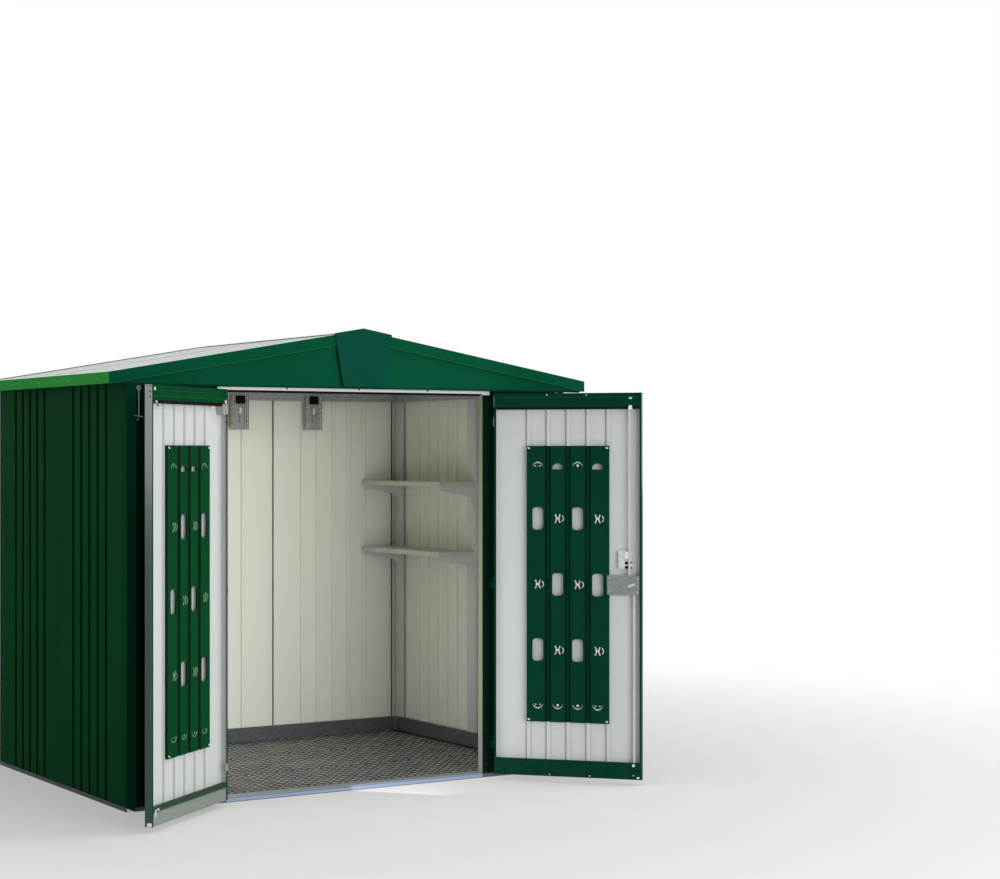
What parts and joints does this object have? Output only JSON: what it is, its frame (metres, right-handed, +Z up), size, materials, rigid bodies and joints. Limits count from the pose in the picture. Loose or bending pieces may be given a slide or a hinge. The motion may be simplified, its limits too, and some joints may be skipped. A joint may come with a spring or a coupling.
{
  "type": "metal storage shed",
  "caption": "Metal garden storage shed with ribbed walls, a low gable roof, hinged front doors with punched tool boards, a chequer plate floor and side shelves.",
  "frame": {"origin": "centre of the wall footprint on the ground, on the underside of the middle floor plate's channel", "axes": "+X to the right seen from the doors, +Y to the back wall, +Z up"},
  "size_m": [2.4692, 2.1383, 2.066],
  "materials": {
    "green_paint": "satin coated sheet",
    "roof_paint": "satin coated sheet",
    "galvanised_steel": "dull galvanised",
    "aluminium_trim": "mill finish",
    "chequer_plate": "raised pattern, dull",
    "black_plastic": "satin",
    "dark_metal": "satin"
  },
  "bodies": {
    "shed": {"back_wall": "green_paint", "barge_strips_back": "green_paint", "barge_strips_front": "green_paint", "base_rails": "galvanised_steel", "corner_posts": "green_paint", "door_hooks": "galvanised_steel", "door_jamb_left": "green_paint", "door_jamb_right": "green_paint", "door_lintel": "aluminium_trim", "door_sill": "aluminium_trim", "eave_strip_left": "green_paint", "eave_strip_right": "green_paint", "floor_plates": "chequer_plate", "front_wall_left": "green_paint", "front_wall_right": "green_paint", "gable_back": "green_paint", "gable_centre_plate": "green_paint", "gable_front": "green_paint", "hinge_pins_left": "galvanised_steel", "hinge_pins_right": "galvanised_steel", "left_wall": "green_paint", "ridge_cover": "roof_paint", "right_wall": "green_paint", "roof_frame": "galvanised_steel", "roof_left": "roof_paint", "roof_right": "roof_paint", "shelf_brackets": "galvanised_steel", "shelf_lower": "galvanised_steel", "shelf_upper": "galvanised_steel", "shelf_uprights": "galvanised_steel", "tool_hangers": "galvanised_steel", "top_rails": "galvanised_steel"},
    "left_door": {"left_door_bottom_rail": "green_paint", "left_door_hinges": "galvanised_steel", "left_door_leaf": "green_paint", "left_door_tool_board": "green_paint", "left_door_top_rail": "green_paint"},
    "right_door": {"right_door_bottom_rail": "green_paint", "right_door_hinges": "galvanised_steel", "right_door_knob": "black_plastic", "right_door_leaf": "green_paint", "right_door_lock_case": "dark_metal", "right_door_lock_plate": "galvanised_steel", "right_door_lock_rods": "galvanised_steel", "right_door_tool_board": "green_paint", "right_door_top_rail": "green_paint"}
  },
  "joints": [
    {"name": "left_door_hinge", "type": "hinge", "parent": "shed", "child": "left_door", "pos_m": [-0.7, -0.803, 0.91], "axis": [0, 0, 1], "range_deg": [-28, 142]},
    {"name": "right_door_hinge", "type": "hinge", "parent": "shed", "child": "right_door", "pos_m": [0.7, -0.803, 0.91], "axis": [0, 0, 1], "range_deg": [-133, 37]}
  ]
}
